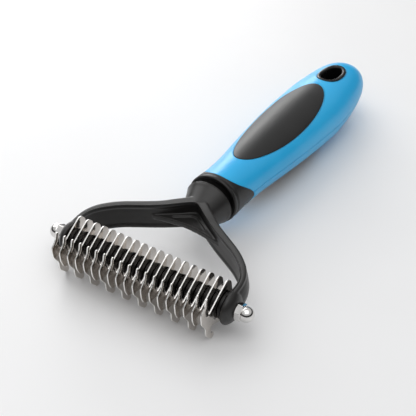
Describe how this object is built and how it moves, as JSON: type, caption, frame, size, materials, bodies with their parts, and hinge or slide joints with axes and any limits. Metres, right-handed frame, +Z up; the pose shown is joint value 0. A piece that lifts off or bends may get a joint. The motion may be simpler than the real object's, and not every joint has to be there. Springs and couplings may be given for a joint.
{
  "type": "deshedding rake",
  "caption": "Two-sided undercoat rake: a row of hooked and finned steel blades on a cross rod, held by a forked yoke on a rounded two-tone grip handle with a hang hole.",
  "frame": {"origin": "centre of the base of the bounding box, on the table the tool lies on", "axes": "+X along the cross rod, +Y from the blades to the butt of the handle, +Z up from the table"},
  "size_m": [0.1024, 0.211, 0.0302],
  "materials": {
    "blade_steel": "satin stamped stainless steel, bright cut edges",
    "rod_steel": "plain turned steel",
    "nut_chrome": "polished chrome plate",
    "yoke_black": "satin moulded plastic",
    "spacer_black": "glossy moulded plastic",
    "soft_black": "soft-touch rubber, satin",
    "shell_blue": "light blue plastic, half gloss",
    "grommet_black": "glossy moulded plastic"
  },
  "bodies": {
    "root": {"blade_01": "blade_steel", "blade_02": "blade_steel", "blade_03": "blade_steel", "blade_04": "blade_steel", "blade_05": "blade_steel", "blade_06": "blade_steel", "blade_07": "blade_steel", "blade_08": "blade_steel", "blade_09": "blade_steel", "blade_10": "blade_steel", "blade_11": "blade_steel", "blade_12": "blade_steel", "blade_13": "blade_steel", "blade_14": "blade_steel", "blade_15": "blade_steel", "blade_16": "blade_steel", "blade_17": "blade_steel", "blade_18": "blade_steel", "blade_19": "blade_steel", "spacer_01": "spacer_black", "spacer_02": "spacer_black", "spacer_03": "spacer_black", "spacer_04": "spacer_black", "spacer_05": "spacer_black", "spacer_06": "spacer_black", "spacer_07": "spacer_black", "spacer_08": "spacer_black", "spacer_09": "spacer_black", "spacer_10": "spacer_black", "spacer_11": "spacer_black", "spacer_12": "spacer_black", "spacer_13": "spacer_black", "spacer_14": "spacer_black", "spacer_15": "spacer_black", "spacer_16": "spacer_black", "spacer_17": "spacer_black", "spacer_18": "spacer_black", "end_spacer_left": "spacer_black", "end_spacer_right": "spacer_black", "threaded_rod": "rod_steel", "yoke": "yoke_black", "collar": "soft_black", "handle_shell_top": "shell_blue", "handle_shell_bottom": "shell_blue", "grip_inlay_top": "soft_black", "grip_inlay_bottom": "soft_black", "hang_grommet": "grommet_black", "handle_core": "yoke_black"},
    "nut_left_body": {"cap_nut_left": "nut_chrome"},
    "nut_right_body": {"cap_nut_right": "nut_chrome"}
  },
  "joints": [
    {"name": "nut_right_turn", "type": "hinge", "parent": "root", "child": "nut_right_body", "pos_m": [0.04525, -0.08787, 0.01211], "axis": [1, 0, 0], "continuous": true},
    {"name": "nut_left_turn", "type": "hinge", "parent": "root", "child": "nut_left_body", "pos_m": [-0.04525, -0.08787, 0.01211], "axis": [-1, 0, 0], "continuous": true}
  ]
}
